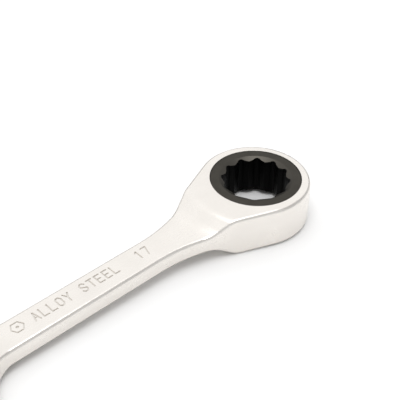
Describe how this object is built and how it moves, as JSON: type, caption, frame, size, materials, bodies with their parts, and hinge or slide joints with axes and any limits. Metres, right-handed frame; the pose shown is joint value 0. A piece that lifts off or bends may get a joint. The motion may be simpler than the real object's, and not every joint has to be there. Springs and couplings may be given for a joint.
{
  "type": "ratcheting combination wrench",
  "caption": "Hand wrench in satin chrome with a one-way ratcheting double-hexagon ring at one end, a flat shank and an angled open end at the other.",
  "frame": {"origin": "centre of the ratchet ring, on its axis at half the head's thickness", "axes": "+Z along the ring's axis, out of the marked face; the handle runs along -X to the open end"},
  "size_m": [0.1382, 0.036, 0.0122],
  "materials": {
    "satin_chrome": "satin chrome plate over a forged and polished body",
    "black_oxide": "black oxide, lightly oiled",
    "spring_steel": "bare spring steel",
    "hardened_steel": "hardened tool steel, dark"
  },
  "bodies": {
    "wrench": {"wrench_body": "satin_chrome", "retaining_ring": "spring_steel", "pawl_spring": "spring_steel"},
    "gear": {"ratchet_gear": "black_oxide"},
    "pawl": {"pawl": "hardened_steel"}
  },
  "joints": [
    {"name": "gear_spin", "type": "hinge", "parent": "wrench", "child": "gear", "pos_m": [0, 0, 0], "axis": [0, 0, 1], "continuous": true},
    {"name": "pawl_slide", "type": "slide", "parent": "wrench", "child": "pawl", "axis": [-1, 0, 0], "range_m": [0, 0.0009], "stiffness_N_per_m": 300, "springref_m": -0.004, "deforming": ["pawl_spring"]}
  ]
}
